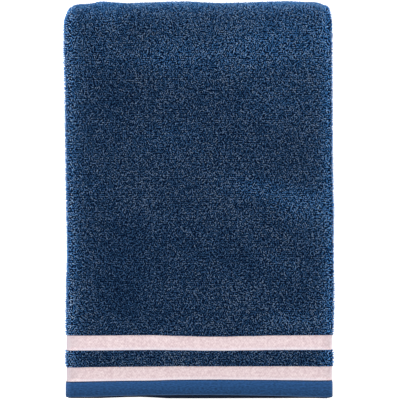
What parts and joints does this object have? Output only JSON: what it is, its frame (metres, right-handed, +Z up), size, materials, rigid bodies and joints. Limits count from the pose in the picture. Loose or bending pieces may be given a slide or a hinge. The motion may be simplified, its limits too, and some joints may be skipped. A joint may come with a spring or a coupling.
{
  "type": "folded bath towel",
  "caption": "Terry bath towel folded into a flat, soft-edged stack, with two flat woven stripes and a stitched hem at its front edge.",
  "frame": {"origin": "on the surface that the towel rests on, under the middle of its bounding box", "axes": "+Y from the hemmed front edge to the folded back edge, +Z up from the underside to the clean top face"},
  "size_m": [0.2434, 0.358, 0.0555],
  "materials": {
    "terry": "matte cotton terry loops in navy, with two flat woven pale pink stripes and a finely ribbed navy hem"
  },
  "bodies": {
    "root": {"towel": "terry"}
  },
  "joints": []
}
